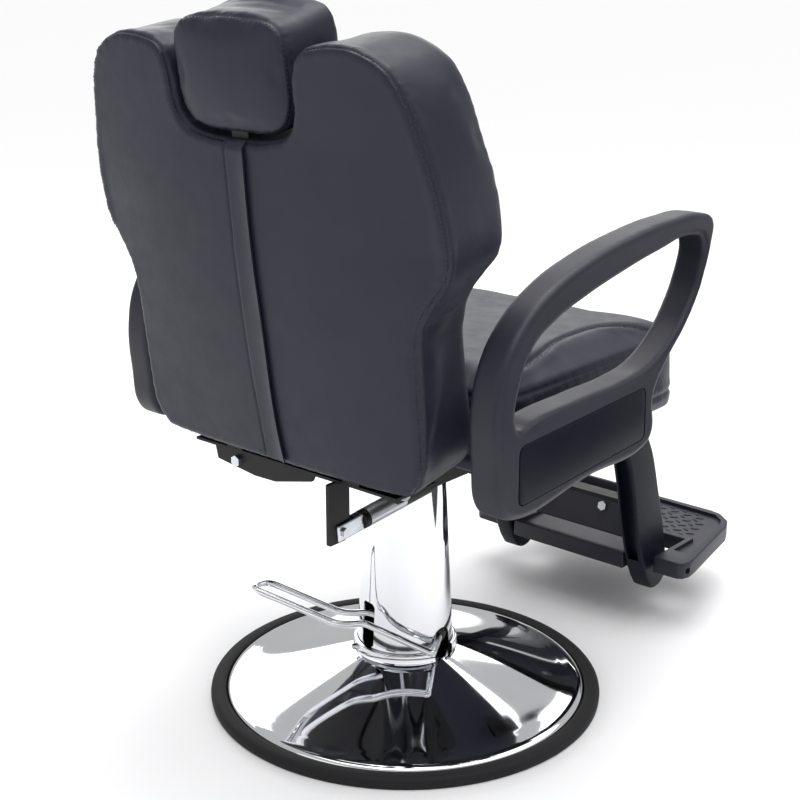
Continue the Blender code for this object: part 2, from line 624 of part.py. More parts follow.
# ---------------------------------------------------------------- gas spring
def make_gas_spring():
    front = Vector((GAS_X, *GAS_ANCHOR))
    rear = Vector((GAS_X, *GAS_PIN))
    along = (rear - front).normalized()
    length = (rear - front).length

    def on_axis(distance):
        return front + along * distance

    rod("gas_rod", on_axis(0.0130), on_axis(0.150), 0.0046, CHROME)
    head = rod("gas_head", front + Vector((-0.0110, 0, 0)), front + Vector((0.0110, 0, 0)),
               0.0105, BLACK_STEEL, steps=20)
    neck = rod("head_neck", on_axis(0.0020), on_axis(0.0127), 0.0075, None)
    weld_on(head, neck)
    weld_on(head, rod("head_axle", front - Vector((0.0165, 0, 0)),
                      front + Vector((0.0165, 0, 0)), 0.0040, None))

    start, end = on_axis(0.088), on_axis(length - 0.0400)
    cylinder = rod("gas_cylinder", start, end, GAS_RADIUS, BLACK_STEEL, steps=28)
    bevel(cylinder, 0.0015, 2)
    cut(cylinder, rod("gas_bore", on_axis(0.070), on_axis(length - 0.048), 0.0051, None))

    clevis_end = length - 0.0397
    size = Vector((0.0150, length + 0.0110 - clevis_end, 0.0240))
    bm = bmesh.new()
    bmesh.ops.create_cube(bm, size=1.0)
    bmesh.ops.scale(bm, vec=size, verts=bm.verts)
    clevis = mesh_object(bm, "gas_clevis", ZINC)
    tilt = along.to_track_quat("Y", "Z")
    clevis.rotation_mode = "QUATERNION"
    clevis.rotation_quaternion = tilt
    clevis.location = on_axis(clevis_end + size.y / 2)
    bevel(clevis, 0.0022, 2)
    slot = box("clevis_slot", (-0.0037, 0.0037), (-0.0400, 0.0400), (-0.020, 0.020), None)
    slot.rotation_mode = "QUATERNION"
    slot.rotation_quaternion = tilt
    slot.location = on_axis(length - 0.0255 + 0.0400)
    cut(clevis, slot)
    cut(clevis, rod("clevis_hole", rear + Vector((-0.02, 0, 0)), rear + Vector((0.02, 0, 0)),
                    0.0044, None))
    bolt = rod("gas_bolt", rear + Vector((-0.0095, 0, 0)), rear + Vector((0.0095, 0, 0)),
               0.0040, ZINC)
    for side in (-1, 1):
        weld_on(bolt, hex_bolt("head", rear + Vector((side * 0.0078, 0, 0)), (side, 0, 0),
                               0.0070, 0.0040))


# ---------------------------------------------------------------- footrest
LEG_FRONT = [(-0.338, 0.4215), (-0.402, 0.366), (-0.443, 0.310), (-0.470, 0.232),
             (-0.492, 0.160), (-0.507, 0.095)]
LEG_REAR = [(-0.446, 0.070), (-0.428, 0.110), (-0.407, 0.175), (-0.392, 0.240),
            (-0.374, 0.300), (-0.345, 0.352), (-0.311, 0.388)]
LEG_FOOT = (-0.477, 0.080, 0.032)   # centre and radius of the rounded foot


def leg_outline():
    """Blade-shaped side view of a leg: rounded hinge eye, widening shin and a round foot."""
    eye = [(LEG_HINGE_Y + 0.0195 * math.cos(t), LEG_HINGE_Z + 0.0195 * math.sin(t))
           for t in [math.radians(a) for a in (-30, 5, 40, 75, 105)]]
    y, z, radius = LEG_FOOT
    foot = [(y + radius * math.cos(t), z + radius * math.sin(t))
            for t in [math.radians(a) for a in (190, 215, 240, 265, 290, 315)]]
    return eye + LEG_FRONT[1:] + foot + LEG_REAR[1:-1]


def make_footrest():
    link_y, link_z = LEG_HINGE_Y + LINK_CRANK[0], LEG_HINGE_Z + LINK_CRANK[1]
    for side, word in SIDES:
        x = side_range(side, LEG_X)
        leg = sheet("footrest_leg" + word, [leg_outline()], "X", *x, BLACK_PLASTIC, edge=0.006)
        if side > 0:
            lug = [(link_y + 0.0095 * math.cos(t), link_z + 0.0095 * math.sin(t))
                   for t in [math.radians(a) for a in (-100, -60, -20, 20, 50)]]
            lug += [(LEG_HINGE_Y + 0.012, LEG_HINGE_Z + 0.004), (LEG_HINGE_Y - 0.012, LEG_HINGE_Z),
                    (LEG_HINGE_Y - 0.010, LEG_HINGE_Z - 0.018)]
            weld_on(leg, sheet("link_lug", [lug], "X", LEG_X[0] + 0.001, 0.1400, None))
        for y, z, radius in ((LEG_HINGE_Y, LEG_HINGE_Z, PIN_HOLE), (*TREAD_PIVOT, PIN_HOLE)):
            cut(leg, rod("leg_hole", (side * 0.10, y, z), (side * 0.17, y, z), radius, None))
        if side > 0:
            cut(leg, rod("link_hole", (0.10, link_y, link_z), (0.1336, link_y, link_z),
                         LINK_PIN + GAP, None))

    inside = LEG_X[0] - GAP
    bar = box("footrest_crossbar", (-inside, inside), (-0.4480, -0.4210), (0.1960, 0.2140),
              BLACK_STEEL)
    channel = box("bar_hollow", (-inside - 0.01, inside + 0.01), (-0.4440, -0.4000),
                  (0.1900, 0.2100), None)
    cut(bar, channel)

    panel = box("calf_panel", (-inside, inside), (-0.006, 0.006), (0, 0.088), BLACK_PLASTIC,
                0.003, 2)
    panel.rotation_euler.x = PANEL_TILT
    panel.location = (0, -0.4690, 0.1740)

    out = Vector((0, math.cos(PANEL_TILT), math.sin(PANEL_TILT)))
    for side, word in SIDES:
        foot = Vector((side * 0.052, -0.4690, 0.1740)) + out * (0.006 + GAP)
        hex_bolt("panel_bolt" + word, foot, out, 0.0085, 0.006)

    pin = rod("link_pin", (0.1030, link_y, link_z), (0.1330, link_y, link_z), LINK_PIN, ZINC)
    weld_on(pin, hex_bolt("pin_head", (0.1036, link_y, link_z), (-1, 0, 0), 0.0070, 0.004))
    rod("tread_rod", (-0.205, *TREAD_PIVOT), (0.205, *TREAD_PIVOT), PIN_RADIUS, ZINC)


def make_link():
    """The bar on the sitter's left that swings the footrest as the back reclines."""
    ends = [(hinge_y + LINK_CRANK[0], hinge_z + LINK_CRANK[1])
            for hinge_y, hinge_z in ((HINGE_Y, HINGE_Z), (LEG_HINGE_Y, LEG_HINGE_Z))]
    (rear_y, rear_z), (front_y, front_z) = ends
    half = LINK_HALF_WIDTH

    def cap(y, z, start):
        return [(y + half * math.cos(t), z + half * math.sin(t))
                for t in [start + math.pi * k / 6 for k in range(7)]]

    outline = cap(rear_y, rear_z, -math.pi / 2) + cap(front_y, front_z, math.pi / 2)
    holes = [circle(y, z, LINK_HOLE) for y, z in ends]
    sheet("recline_link", [outline] + holes, "X", *LINK_X, BLACK_STEEL)


def make_tread():
    """Foot tray with a raised rim; a slot on each side lets it fold up past the legs."""
    half = [(0.0, -0.432), (0.1150, -0.432), (0.1150, -0.556), (0.1615, -0.556),
            (0.1615, -0.452), (0.214, -0.456), (0.2210, -0.478), (0.186, -0.660),
            (0.150, -0.700), (0.0, -0.704)]
    tray = sheet("footplate", [whole_outline(half)], "Z", *TREAD_Z, BLACK_PLASTIC, edge=0.003)
    well = [(0.0, -0.442), (0.105, -0.442), (0.105, -0.566), (0.172, -0.566), (0.172, -0.500),
            (0.205, -0.500), (0.176, -0.654), (0.145, -0.688), (0.0, -0.692)]
    hollow = sheet("tray_well", [whole_outline(well)], "Z", TREAD_Z[1] - 0.006,
                   TREAD_Z[1] + 0.010, None)
    cut(tray, hollow)
    cut(tray, rod("tray_bore", (-0.25, *TREAD_PIVOT), (0.25, *TREAD_PIVOT), PIN_HOLE, None))


# ---------------------------------------------------------------- recline release
def make_release_lever():
    x, y, z = RAIL_X[1] + GAP, 0.020, 0.4030
    path = [(x, y, z), (0.262, y, z), (0.300, y - 0.045, z - 0.004)]
    bent_rod("release_lever", path, 0.0045, BLACK_STEEL, corner=0.015)
    direction = (Vector(path[2]) - Vector(path[1])).normalized()
    start = Vector(path[2]) + direction * GAP
    grip = rod("release_knob", start, start + direction * 0.046, 0.0095, BLACK_PLASTIC, steps=20)
    bevel(grip, 0.003, 2)


make_base()
make_column()
make_foot_lever()
make_ram()
make_seat_frame()
make_armrests()
make_backrest()
make_headrest()
make_gas_spring()
make_footrest()
make_link()
make_tread()
make_release_lever()
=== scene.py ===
"""Looks of the hydraulic barber chair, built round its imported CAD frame.

Metres, +Z up, the sitter faces -Y and the sitter's right hand is on -X. Upholstery is inflated
by cloth simulation, then its seams are pressed in and stitched.
"""
import json
import math

import bmesh
import bpy
import numpy as np
from mathutils import Matrix, Vector
from mathutils.bvhtree import BVHTree
from mathutils.kdtree import KDTree


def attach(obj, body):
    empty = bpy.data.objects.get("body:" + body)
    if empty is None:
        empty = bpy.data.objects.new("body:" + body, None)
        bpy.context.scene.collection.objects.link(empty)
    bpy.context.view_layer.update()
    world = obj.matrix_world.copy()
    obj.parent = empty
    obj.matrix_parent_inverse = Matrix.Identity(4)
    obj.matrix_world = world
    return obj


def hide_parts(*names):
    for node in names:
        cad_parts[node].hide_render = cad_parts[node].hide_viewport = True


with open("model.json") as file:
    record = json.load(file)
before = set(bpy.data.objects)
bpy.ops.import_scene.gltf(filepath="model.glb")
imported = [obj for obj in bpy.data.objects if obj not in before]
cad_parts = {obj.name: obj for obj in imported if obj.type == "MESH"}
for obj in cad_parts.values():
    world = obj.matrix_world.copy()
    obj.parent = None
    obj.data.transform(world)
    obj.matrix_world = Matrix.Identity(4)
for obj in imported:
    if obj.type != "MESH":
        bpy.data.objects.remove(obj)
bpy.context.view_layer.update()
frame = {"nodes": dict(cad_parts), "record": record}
scene = bpy.context.scene

# ---------------------------------------------------------------- sizes (metres)
BACK_LEAN = math.radians(8.25)
BACK = Matrix.Translation((0, 0.258, 0.435)) @ Matrix.Rotation(-BACK_LEAN, 4, "X")

SWELL_FRAMES = 20
PRESSURE = 4.0
SEAM_WIDTH = 0.0028
SEAM_REACH = 0.045              # beyond this a seam doesn't shape the cover
GATHER_REACH = 0.010
PATH_PITCH = 0.002              # spacing of the points along a seam
STITCH_LENGTH, STITCH_PITCH, STITCH_RADIUS = 0.0038, 0.0056, 0.00052

LEVER_TURN = math.radians(30)
LEG_X = (0.120, 0.156)
ARM_X = (0.297, 0.345)
LABEL = (0.150, 0.2243)         # ends of the gas cylinder's band, from the front pin
GAS_FRONT = Vector((-0.080, -0.045, 0.376))
GAS_REAR = Vector((-0.080, 0.228, 0.353))
SIDES = ((-1, "right"), (1, "left"))

SKY_LIGHT = 0.52
FLOOR_HALF = 60
CARD_BLACK = (0.01, 0.01, 0.012)
PIN_HOLE = 0.0053
LINK_PIN_HOLE = 0.0040


# ---------------------------------------------------------------- camera, light and floor
def make_camera():
    yaw, pitch = math.radians(40.8), math.radians(17.6)
    forward = Vector((math.sin(yaw) * math.cos(pitch), -math.cos(yaw) * math.cos(pitch),
                      -math.sin(pitch)))
    data = bpy.data.cameras.new("camera")
    data.lens, data.sensor_width = 68.6, 36.0
    camera = bpy.data.objects.new("camera", data)
    camera.location = (-1.385, 1.617, 1.142)
    camera.rotation_mode = "QUATERNION"
    camera.rotation_quaternion = forward.to_track_quat("-Z", "Y")
    scene.collection.objects.link(camera)
    scene.camera = camera


def area_light(name, place, target, size, power):
    data = bpy.data.lights.new(name, "AREA")
    data.shape, data.size, data.size_y, data.energy = "RECTANGLE", size[0], size[1], power
    light = bpy.data.objects.new(name, data)
    light.location = place
    light.visible_camera = False
    light.rotation_mode = "QUATERNION"
    light.rotation_quaternion = (Vector(target) - Vector(place)).to_track_quat("-Z", "Y")
    scene.collection.objects.link(light)


def card(name, centre, target, size, color):
    """A studio card that shiny surfaces reflect and the camera doesn't see."""
    bm = bmesh.new()
    bmesh.ops.create_grid(bm, x_segments=1, y_segments=1, size=0.5)
    bmesh.ops.scale(bm, vec=(size[0], size[1], 1), verts=bm.verts)
    obj = mesh_from(bm, name)
    obj.location = centre
    obj.rotation_mode = "QUATERNION"
    obj.rotation_quaternion = (Vector(target) - Vector(centre)).to_track_quat("Z", "Y")
    obj.visible_camera = obj.visible_shadow = obj.visible_diffuse = False
    obj.data.materials.append(plain_material(name, color, 0.9))


def make_studio():
    world = bpy.data.worlds.new("studio")
    world.use_nodes = True
    nodes, links = world.node_tree.nodes, world.node_tree.links
    background = nodes["Background"]
    background.inputs["Color"].default_value = (1, 1, 1, 1)
    # The sky looks white and lights the chair more softly than that.
    seen, level = nodes.new("ShaderNodeLightPath"), nodes.new("ShaderNodeMapRange")
    level.inputs["To Min"].default_value = SKY_LIGHT
    level.inputs["To Max"].default_value = 1.0
    links.new(seen.outputs["Is Camera Ray"], level.inputs["Value"])
    links.new(level.outputs[0], background.inputs["Strength"])
    scene.world = world
    scene.view_settings.view_transform = "Standard"
    overhead = bpy.data.lights.new("overhead", "SUN")
    overhead.energy, overhead.angle = 1.95, math.radians(80)
    overhead_place = bpy.data.objects.new("overhead", overhead)
    overhead_place.rotation_euler = (math.radians(12), math.radians(-10), 0)
    scene.collection.objects.link(overhead_place)
    area_light("key", (-0.9, 0.9, 3.0), (0, 0, 0.6), (1.6, 1.6), 14)
    area_light("fill", (0.6, 3.0, 1.6), (0, 0, 0.5), (1.8, 1.4), 4)
    area_light("top", (0.2, -0.6, 2.9), (0, 0, 0.5), (1.4, 1.4), 18)
    area_light("far", (2.5, -2.9, 2.3), (0, 0, 0.3), (3.4, 1.8), 34)
    area_light("left", (3.4, -0.9, 1.9), (0, 0, 0.2), (2.6, 1.8), 17)
    bm = bmesh.new()
    bmesh.ops.create_grid(bm, x_segments=1, y_segments=1, size=FLOOR_HALF)
    floor = mesh_from(bm, "floor")
    floor.location.z = -0.0005
    floor.data.materials.append(plain_material("floor", (0.93, 0.93, 0.94), 0.55))
    card("dark_card_rear", (-0.3, 2.6, 0.25), (0, 0, 0.1), (1.1, 0.5), CARD_BLACK)
    card("dark_card_side", (-2.4, -0.4, 0.30), (0, 0, 0.1), (0.5, 0.9), CARD_BLACK)
    card("dark_card_floor", (-1.7, -1.5, 0.01), (-1.7, -1.5, 1.0), (2.0, 2.0),
         (0.02, 0.02, 0.025))


# ---------------------------------------------------------------- materials
def plain_material(name, color, roughness, metallic=0.0, gloss=0.5):
    material = bpy.data.materials.new(name)
    material.use_nodes = True
    shader = material.node_tree.nodes["Principled BSDF"]
    shader.inputs["Base Color"].default_value = (*color, 1)
    shader.inputs["Roughness"].default_value = roughness
    shader.inputs["Metallic"].default_value = metallic
    shader.inputs["Specular IOR Level"].default_value = gloss
    return material


class Nodes:
    """Shorthand for wiring one material's nodes in object coordinates."""

    def __init__(self, material):
        self.tree = material.node_tree
        self.shader = self.tree.nodes["Principled BSDF"]
        self.place = self.tree.nodes.new("ShaderNodeTexCoord").outputs["Object"]

    def node(self, kind, inputs=None, **settings):
        made = self.tree.nodes.new(kind)
        for key, value in settings.items():
            setattr(made, key, value)
        for key, value in (inputs or {}).items():
            if isinstance(value, bpy.types.NodeSocket):
                self.tree.links.new(value, made.inputs[key])
            else:
                made.inputs[key].default_value = value
        return made

    def noise(self, scale, detail=3.0, roughness=0.5, place=None):
        return self.node("ShaderNodeTexNoise", {"Vector": place or self.place, "Scale": scale,
                                                "Detail": detail, "Roughness": roughness})

    def ramp(self, source, low, high):
        """source's 0.3 to 0.7 mapped onto low to high."""
        return self.node("ShaderNodeMapRange", {"Value": source, "From Min": 0.3,
                                                "From Max": 0.7, "To Min": low, "To Max": high})

    def tint(self, source, dark, light):
        made = self.node("ShaderNodeMix", {"Factor": source}, data_type="RGBA")
        made.inputs[6].default_value = (*dark, 1)
        made.inputs[7].default_value = (*light, 1)
        return made.outputs[2]

    def bump(self, height, strength, distance, normal=None):
        inputs = {"Height": height, "Strength": strength, "Distance": distance}
        if normal:
            inputs["Normal"] = normal
        return self.node("ShaderNodeBump", inputs).outputs["Normal"]

    def to_shader(self, **sockets):
        for key, value in sockets.items():
            self.tree.links.new(value, self.shader.inputs[key.replace("_", " ")])


def leatherette(name, dark=(0.013, 0.0145, 0.026), light=(0.020, 0.022, 0.037)):
    """Smooth grained upholstery with soft creases."""
    material = plain_material(name, light, 0.42, gloss=0.28)
    n = Nodes(material)
    patches = n.noise(7.0)
    grain = n.node("ShaderNodeTexVoronoi", {"Vector": n.place, "Scale": 620.0},
                   feature="SMOOTH_F1")
    pores = n.noise(1500.0, 2.0)
    creases = n.noise(34.0, 4.0, 0.62)
    normal = n.bump(creases.outputs["Fac"], 0.28, 0.0012)
    normal = n.bump(grain.outputs["Distance"], 0.16, 0.00035, normal)
    normal = n.bump(pores.outputs["Fac"], 0.08, 0.00015, normal)
    n.to_shader(Base_Color=n.tint(patches.outputs["Fac"], dark, light),
                Roughness=n.ramp(creases.outputs["Fac"], 0.36, 0.47).outputs[0], Normal=normal)
    return material


def moulded_plastic(name, dark, light, roughness=(0.40, 0.50), gloss=0.34):
    """Spark-textured plastic that is a little shinier where it is handled."""
    material = plain_material(name, light, roughness[1], gloss=gloss)
    n = Nodes(material)
    texture = n.noise(1400.0, 2.0)
    smears = n.noise(11.0, 4.0, 0.6)
    pits = n.node("ShaderNodeTexVoronoi", {"Vector": n.place, "Scale": 900.0})
    normal = n.bump(texture.outputs["Fac"], 0.22, 0.00025)
    normal = n.bump(pits.outputs["Distance"], 0.10, 0.0002, normal)
    n.to_shader(Base_Color=n.tint(smears.outputs["Fac"], dark, light),
                Roughness=n.ramp(smears.outputs["Fac"], *roughness).outputs[0], Normal=normal)
    return material


def metal(name, color, roughness, ripple=0.0, scale=18.0, grain=0.0):
    """Polished or brushed metal; ripple is the slow waviness of a pressed and plated sheet."""
    material = plain_material(name, color, roughness[0], 1.0)
    n = Nodes(material)
    clouds = n.noise(scale, 3.0)
    dark = tuple(0.94 * c for c in color)
    sockets = {"Base_Color": n.tint(clouds.outputs["Fac"], dark, color),
               "Roughness": n.ramp(clouds.outputs["Fac"], *roughness).outputs[0]}
    normal = n.bump(n.noise(5.0, 1.0).outputs["Fac"], ripple, 0.004) if ripple else None
    if grain:
        normal = n.bump(n.noise(900.0, 3.0).outputs["Fac"], grain, 0.0002, normal)
    if normal:
        sockets["Normal"] = normal
    n.to_shader(**sockets)
    return material


def powder_coat(name):
    """Black stoved enamel on steel, with a fine orange peel."""
    material = plain_material(name, (0.006, 0.006, 0.008), 0.38, gloss=0.25)
    n = Nodes(material)
    peel = n.noise(420.0, 2.0)
    dust = n.noise(16.0, 4.0)
    n.to_shader(Base_Color=n.tint(dust.outputs["Fac"], (0.004, 0.004, 0.005),
                                  (0.009, 0.009, 0.011)),
                Roughness=n.ramp(dust.outputs["Fac"], 0.32, 0.46).outputs[0],
                Normal=n.bump(peel.outputs["Fac"], 0.25, 0.0004))
    return material


def rough_material(name, dark, light, roughness, scale, depth):
    """Rubber, cast iron and the like: mottled, with a bump at one scale."""
    material = plain_material(name, light, roughness, gloss=0.3)
    n = Nodes(material)
    mottle = n.noise(scale, 4.0)
    n.to_shader(Base_Color=n.tint(mottle.outputs["Fac"], dark, light),
                Roughness=n.ramp(mottle.outputs["Fac"], roughness - 0.06, roughness).outputs[0],
                Normal=n.bump(mottle.outputs["Fac"], 0.3, depth))
    return material


def plywood(name):
    material = plain_material(name, (0.45, 0.32, 0.19), 0.7)
    n = Nodes(material)
    stretched = n.node("ShaderNodeMapping", {"Vector": n.place, "Scale": (3.0, 40.0, 40.0)})
    grain = n.noise(3.0, 6.0, 0.6, stretched.outputs[0])
    n.to_shader(Base_Color=n.tint(grain.outputs["Fac"], (0.30, 0.19, 0.10), (0.52, 0.38, 0.23)),
                Roughness=n.ramp(grain.outputs["Fac"], 0.62, 0.75).outputs[0],
                Normal=n.bump(grain.outputs["Fac"], 0.2, 0.0005))
    return material


LEATHER = leatherette("leatherette")
PLASTIC = moulded_plastic("black_plastic", (0.015, 0.0155, 0.025), (0.024, 0.0245, 0.038))
# Darker black plastic: the arm insets' own darker moulding, and on the footrest legs painted
# shade, because the legs are the same plastic as the arms.
INSET_AND_SHADED_PLASTIC = moulded_plastic("inset_and_shaded_plastic", (0.0035, 0.0045, 0.0100), (0.0060, 0.0075, 0.0150),
                        (0.34, 0.42), gloss=0.14)
CHROME = metal("chrome", (0.86, 0.87, 0.90), (0.035, 0.060), ripple=0.02)
ZINC = metal("zinc_plate", (0.66, 0.69, 0.72), (0.20, 0.34), scale=60.0, grain=0.10)
SILVER = metal("label_silver", (0.56, 0.57, 0.60), (0.30, 0.38), scale=80.0, grain=0.05)
STEEL = powder_coat("black_steel")
RUBBER = rough_material("rubber", (0.006, 0.006, 0.007), (0.013, 0.013, 0.015), 0.72,
                        300, 0.0003)
IRON = rough_material("cast_iron", (0.05, 0.05, 0.055), (0.11, 0.11, 0.12), 0.65, 240, 0.0006)
WOOD = plywood("plywood")
THREAD = rough_material("thread", (0.026, 0.026, 0.034), (0.048, 0.048, 0.062), 0.6, 2000,
                        0.0001)

SLOT_LOOKS = {"chrome": CHROME, "zinc": ZINC, "black_steel": STEEL, "black_plastic": PLASTIC,
              "leatherette": LEATHER, "foam": LEATHER, "rubber": RUBBER, "cast_iron": IRON,
              "plywood": WOOD}


# ---------------------------------------------------------------- mesh helpers
def mesh_from(bm, name):
    mesh = bpy.data.meshes.new(name)
    bmesh.ops.recalc_face_normals(bm, faces=bm.faces)
    bm.to_mesh(mesh)
    bm.free()
    obj = bpy.data.objects.new(name, mesh)
    scene.collection.objects.link(obj)
    return obj


def mesh_of(name, points, faces):
    bm = bmesh.new()
    verts = [bm.verts.new(p) for p in points]
    for face in faces:
        bm.faces.new([verts[i] for i in face])
    return mesh_from(bm, name)


def freeze(obj):
    """Apply every modifier, in place."""
    bpy.context.view_layer.update()
    graph = bpy.context.evaluated_depsgraph_get()
    mesh = bpy.data.meshes.new_from_object(obj.evaluated_get(graph))
    obj.modifiers.clear()
    if obj.type == "MESH":
        obj.data = mesh
        return obj
    made = bpy.data.objects.new(obj.name, mesh)
    made.matrix_world = obj.matrix_world.copy()
    scene.collection.objects.link(made)
    name = obj.name
    bpy.data.objects.remove(obj)
    made.name = name
    return made


def bake_place(obj):
    """Move an object's place into its mesh."""
    bpy.context.view_layer.update()
    obj.data.transform(obj.matrix_world)
    obj.matrix_world = Matrix.Identity(4)
    return obj


def smooth_shade(obj, angle=38):
    obj.data.shade_smooth()
    obj.data.set_sharp_from_angle(angle=math.radians(angle))
    return obj


def cut(obj, cutter, operation="DIFFERENCE"):
    modifier = obj.modifiers.new("cut", "BOOLEAN")
    modifier.operation, modifier.solver, modifier.object = operation, "EXACT", cutter
    freeze(obj)
    bpy.data.objects.remove(cutter)
    return obj


def place_piece(obj, body, look, slot, *nodes, angle=38):
    """Give a finished piece its material and body, and hide the CAD nodes it stands for. The slot
    is not used.
    """
    obj.data.materials.clear()
    obj.data.materials.append(look)
    smooth_shade(obj, angle)
    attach(obj, body)
    if nodes:
        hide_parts(*nodes)
    return obj


def lathe(name, profile, steps=144):
    """A closed (radius, height) outline turned about the Z axis."""
    points, faces, count = [], [], len(profile)
    for k in range(steps):
        a = math.tau * k / steps
        points += [(r * math.cos(a), r * math.sin(a), z) for r, z in profile]
    for k in range(steps):
        for i in range(count):
            j, n = (i + 1) % count, (k + 1) % steps
            faces.append((k * count + i, k * count + j, n * count + j, n * count + i))
    return mesh_of(name, points, faces)


def smooth_path(points, per_span=8, closed=False):
    """A Catmull-Rom curve through the points."""
    points = [Vector(p) for p in points]
    count = len(points)
    result = []
    for i in range(count if closed else count - 1):
        def at(k):
            return points[k % count] if closed else points[max(0, min(count - 1, k))]
        p0, p1, p2, p3 = at(i - 1), at(i), at(i + 1), at(i + 2)
        for s in range(per_span):
            t = s / per_span
            result.append(0.5 * (2 * p1 + (p2 - p0) * t + (2 * p0 - 5 * p1 + 4 * p2 - p3) * t * t
                                 + (3 * p1 - p0 - 3 * p2 + p3) * t ** 3))
    return result if closed else result + [points[-1]]


def evenly(points, pitch, closed=False):
    """Points spaced evenly along a path."""
    points = [Vector(p) for p in points] + ([Vector(points[0])] if closed else [])
    result, carry = [], 0.0
    for a, b in zip(points, points[1:]):
        length = (b - a).length
        while carry < length:
            result.append(a.lerp(b, carry / length))
            carry += pitch
        carry -= length
    return result


def slab(name, outline, low, high, axis):
    """An outline in two axes made thick along the third ("X", "Y" or "Z")."""
    def at(p, depth):
        return {"X": (depth, p[0], p[1]), "Y": (p[0], depth, p[1]),
                "Z": (p[0], p[1], depth)}[axis]
    n = len(outline)
    points = [at(p, low) for p in outline] + [at(p, high) for p in outline]
    faces = [tuple(range(n)), tuple(range(2 * n - 1, n - 1, -1))]
    faces += [(i, i + n, (i + 1) % n + n, (i + 1) % n) for i in range(n)]
    return mesh_of(name, points, faces)


def soft_block(obj, voxel, rounds):
    """Even quads all over, with corners rounded off."""
    remesh = obj.modifiers.new("even", "REMESH")
    remesh.mode, remesh.voxel_size = "VOXEL", voxel
    soften = obj.modifiers.new("soften", "SMOOTH")
    soften.factor, soften.iterations = 0.5, rounds
    return freeze(obj)


def coordinates(obj):
    flat = np.empty(len(obj.data.vertices) * 3)
    obj.data.vertices.foreach_get("co", flat)
    return flat.reshape(-1, 3)


def normals(obj):
    flat = np.empty(len(obj.data.vertices) * 3)
    obj.data.vertices.foreach_get("normal", flat)
    return flat.reshape(-1, 3)


def set_coordinates(obj, values):
    obj.data.vertices.foreach_set("co", np.ascontiguousarray(values, float).ravel())
    obj.data.update()


def swell(obj, cap, held, settling=8):
    """Inflate a pad by cloth simulation; cap is the farthest each point may move."""
    rest = coordinates(obj)
    group = obj.vertex_groups.new(name="held")
    for index in np.nonzero(held)[0]:
        group.add([int(index)], 1.0, "REPLACE")
    cloth = obj.modifiers.new("swell", "CLOTH")
    settings = cloth.settings
    settings.use_pressure = True
    settings.uniform_pressure_force = PRESSURE
    settings.effector_weights.gravity = 0
    settings.vertex_group_mass = "held"
    settings.quality = 4
    for step in range(1, SWELL_FRAMES + 1):
        scene.frame_set(step)
    evaluated = obj.evaluated_get(bpy.context.evaluated_depsgraph_get())
    flat = np.empty(len(rest) * 3)
    evaluated.data.vertices.foreach_get("co", flat)
    moved = flat.reshape(-1, 3)
    obj.modifiers.clear()
    obj.vertex_groups.clear()
    scene.frame_set(1)
    offset = moved - rest
    length = np.maximum(np.linalg.norm(offset, axis=1), 1e-9)
    offset *= (cap * np.tanh(length / np.maximum(cap, 1e-6)) / length)[:, None]
    set_coordinates(obj, rest + offset)
    settle = obj.modifiers.new("settle", "SMOOTH")
    settle.factor, settle.iterations = 0.5, settling
    finer = obj.modifiers.new("finer", "SUBSURF")
    finer.levels = finer.render_levels = 1
    return freeze(obj)


def press_seams(obj, seams, depth=0.0022, width=SEAM_WIDTH, gather=0.0):
    """Press seam lines into a pad and gather the cover beside them."""
    points = [p for seam in seams for p in seam]
    tree = KDTree(len(points))
    for i, p in enumerate(points):
        tree.insert(p, i)
    tree.balance()
    values, outward = coordinates(obj), normals(obj)
    for k, place in enumerate(values):
        _, index, distance = tree.find(place)
        if distance > SEAM_REACH:
            continue
        push = -depth * math.exp(-(distance / width) ** 2)
        push += 0.25 * depth * math.exp(-((distance - 3.2 * width) / (1.8 * width)) ** 2)
        if gather:
            phase = index * 0.52
            wave = math.sin(phase) + 0.6 * math.sin(2.3 * phase + 1.1)
            push += gather * wave * math.exp(-(distance / GATHER_REACH) ** 2) * (distance > width)
        values[k] += outward[k] * push
    set_coordinates(obj, values)


def surface_of(obj):
    mesh = obj.data
    return BVHTree.FromPolygons([v.co for v in mesh.vertices],
                                [tuple(p.vertices) for p in mesh.polygons])


def snapped(tree, path):
    """The nearest place on a surface, and its normal, for each point of a path."""
    return [tree.find_nearest(p)[:2] for p in path]


def seam_on(tree, path):
    """A closed path as evenly spaced points on a surface."""
    return [place for place, _ in snapped(tree, evenly(path, PATH_PITCH, True))]


def stitches(name, tree, paths, body, offsets):
    """Rows of thread along each seam, lying on the pad, one row for each offset."""
    bm = bmesh.new()
    for path in paths:
        rail = snapped(tree, evenly(path, STITCH_PITCH))
        for i in range(1, len(rail) - 1):
            place, normal = rail[i]
            along = (rail[i + 1][0] - rail[i - 1][0]).normalized()
            across = normal.cross(along).normalized()
            for offset in offsets:
                spot, up, _, _ = tree.find_nearest(place + across * offset)
                turn = Matrix((along, up.cross(along).normalized(), up)).transposed().to_4x4()
                bmesh.ops.create_icosphere(
                    bm, subdivisions=1, radius=1.0,
                    matrix=Matrix.Translation(spot + up * STITCH_RADIUS * 0.5) @ turn
                    @ Matrix.Diagonal((STITCH_LENGTH / 2, STITCH_RADIUS, STITCH_RADIUS, 1)))
    obj = mesh_from(bm, name)
    return place_piece(obj, body, THREAD, "leatherette", angle=80)


# ---------------------------------------------------------------- backrest
BACK_HALF = [(0.000, 0.006), (0.200, 0.007), (0.237, 0.020), (0.252, 0.050), (0.254, 0.090),
             (0.254, 0.170), (0.257, 0.232), (0.274, 0.266), (0.302, 0.302), (0.310, 0.335),
             (0.305, 0.400), (0.292, 0.455), (0.276, 0.510), (0.252, 0.550), (0.210, 0.571),
             (0.165, 0.573), (0.121, 0.563), (0.107, 0.530), (0.104, 0.488), (0.089, 0.4615),
             (0.050, 0.4515), (0.000, 0.4495)]


def mirrored(half):
    return half + [(-x, z) for x, z in reversed(half[1:-1])]


